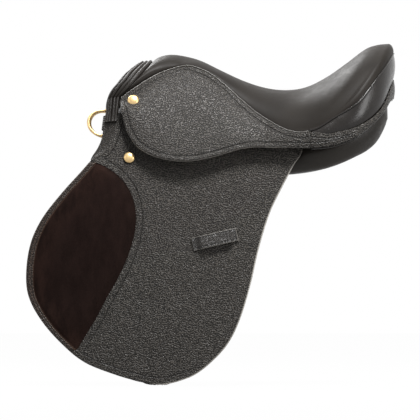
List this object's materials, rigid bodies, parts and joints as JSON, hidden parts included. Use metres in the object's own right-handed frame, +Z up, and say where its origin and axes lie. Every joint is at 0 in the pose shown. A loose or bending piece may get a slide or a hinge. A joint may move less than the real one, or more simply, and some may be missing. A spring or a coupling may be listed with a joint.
{
  "type": "all-purpose english saddle",
  "caption": "All-purpose English riding saddle with a sprung tree, lifting skirts and flaps, suede knee pads, girth straps, flocked panels and brass dees.",
  "frame": {"origin": "middle of the horse's back under the seat, at the level of the panels' bearing face", "axes": "+X towards the cantle, -Y is the near (left) side, +Z up"},
  "size_m": [0.5724, 0.3818, 0.5282],
  "materials": {
    "seat_leather": "satin",
    "grain_leather": "satin",
    "suede": "matte",
    "lining_leather": "satin",
    "foam": "matte",
    "webbing": "matte",
    "beech": "satin",
    "spring_steel": "satin",
    "bar_steel": "satin",
    "brass": "polished"
  },
  "bodies": {
    "saddle": {"seat_leather": "seat_leather", "seat_foam": "foam", "seat_web": "webbing", "girth_web_front": "webbing", "girth_web_rear": "webbing", "tree_cantle": "beech", "tree_head": "beech", "gullet_plate": "spring_steel", "channel_lining": "lining_leather", "pommel_band_rear": "seat_leather", "pommel_band_front": "seat_leather", "seat_welt": "seat_leather", "cantle_facing": "seat_leather", "cantle_strip": "grain_leather", "tree_rail_left": "beech", "spring_left": "spring_steel", "skirt_top_left": "grain_leather", "flap_top_left": "grain_leather", "stirrup_bar_left": "bar_steel", "sweat_flap_left": "lining_leather", "panel_point_left": "lining_leather", "panel_left": "lining_leather", "skirt_nail_left": "brass", "flap_nail_left": "brass", "dee_chape_left": "grain_leather", "facing_leg_left": "seat_leather", "tree_rail_right": "beech", "spring_right": "spring_steel", "skirt_top_right": "grain_leather", "flap_top_right": "grain_leather", "stirrup_bar_right": "bar_steel", "sweat_flap_right": "lining_leather", "panel_point_right": "lining_leather", "panel_right": "lining_leather", "skirt_nail_right": "brass", "flap_nail_right": "brass", "dee_chape_right": "grain_leather", "facing_leg_right": "seat_leather"},
    "dee_left_body": {"dee_left": "brass"},
    "skirt_left_body": {"skirt_left": "grain_leather"},
    "flap_left_body": {"flap_left": "grain_leather", "knee_pad_left": "suede", "knee_binding_left": "grain_leather", "keeper_left": "grain_leather"},
    "catch_left_body": {"bar_catch_left": "bar_steel"},
    "straps_left_body": {"girth_strap_1_left": "grain_leather", "girth_strap_2_left": "grain_leather", "girth_strap_3_left": "grain_leather", "buckle_guard_left": "lining_leather"},
    "dee_right_body": {"dee_right": "brass"},
    "skirt_right_body": {"skirt_right": "grain_leather"},
    "flap_right_body": {"flap_right": "grain_leather", "knee_pad_right": "suede", "knee_binding_right": "grain_leather", "keeper_right": "grain_leather"},
    "catch_right_body": {"bar_catch_right": "bar_steel"},
    "straps_right_body": {"girth_strap_1_right": "grain_leather", "girth_strap_2_right": "grain_leather", "girth_strap_3_right": "grain_leather", "buckle_guard_right": "lining_leather"}
  },
  "joints": [
    {"name": "dee_swing_left", "type": "hinge", "parent": "saddle", "child": "dee_left_body", "pos_m": [-0.18375, -0.0755, 0.08], "axis": [0.1197, 0.3457, 0.9307], "range_deg": [-50, 35]},
    {"name": "dee_swing_right", "type": "hinge", "parent": "saddle", "child": "dee_right_body", "pos_m": [-0.18375, 0.0755, 0.08], "axis": [-0.1197, 0.3457, -0.9307], "range_deg": [-50, 35]},
    {"name": "skirt_lift_left", "type": "hinge", "parent": "saddle", "child": "skirt_left_body", "pos_m": [-0.0495, -0.12075, 0.072], "axis": [-0.965, 0.119, 0.2337], "range_deg": [0, 60]},
    {"name": "skirt_lift_right", "type": "hinge", "parent": "saddle", "child": "skirt_right_body", "pos_m": [-0.0495, 0.12075, 0.072], "axis": [0.965, 0.119, -0.2337], "range_deg": [0, 60]},
    {"name": "flap_lift_left", "type": "hinge", "parent": "saddle", "child": "flap_left_body", "pos_m": [0, -0.12405, 0.013], "axis": [-1, 0, 0], "range_deg": [0, 65]},
    {"name": "flap_lift_right", "type": "hinge", "parent": "saddle", "child": "flap_right_body", "pos_m": [0, 0.12405, 0.013], "axis": [1, 0, 0], "range_deg": [0, 65]},
    {"name": "catch_turn_left", "type": "hinge", "parent": "saddle", "child": "catch_left_body", "pos_m": [-0.0755, -0.11364, 0.07], "axis": [0, -0.9229, 0.3851], "range_deg": [0, 50]},
    {"name": "catch_turn_right", "type": "hinge", "parent": "saddle", "child": "catch_right_body", "pos_m": [-0.0755, 0.11364, 0.07], "axis": [0, -0.9229, -0.3851], "range_deg": [0, 50]},
    {"name": "strap_swing_left", "type": "hinge", "parent": "saddle", "child": "straps_left_body", "pos_m": [-0.03, -0.09308, 0.066], "axis": [0, 1, 0], "range_deg": [-6, 6]},
    {"name": "strap_swing_right", "type": "hinge", "parent": "saddle", "child": "straps_right_body", "pos_m": [-0.03, 0.09308, 0.066], "axis": [0, 1, 0], "range_deg": [-6, 6]}
  ]
}
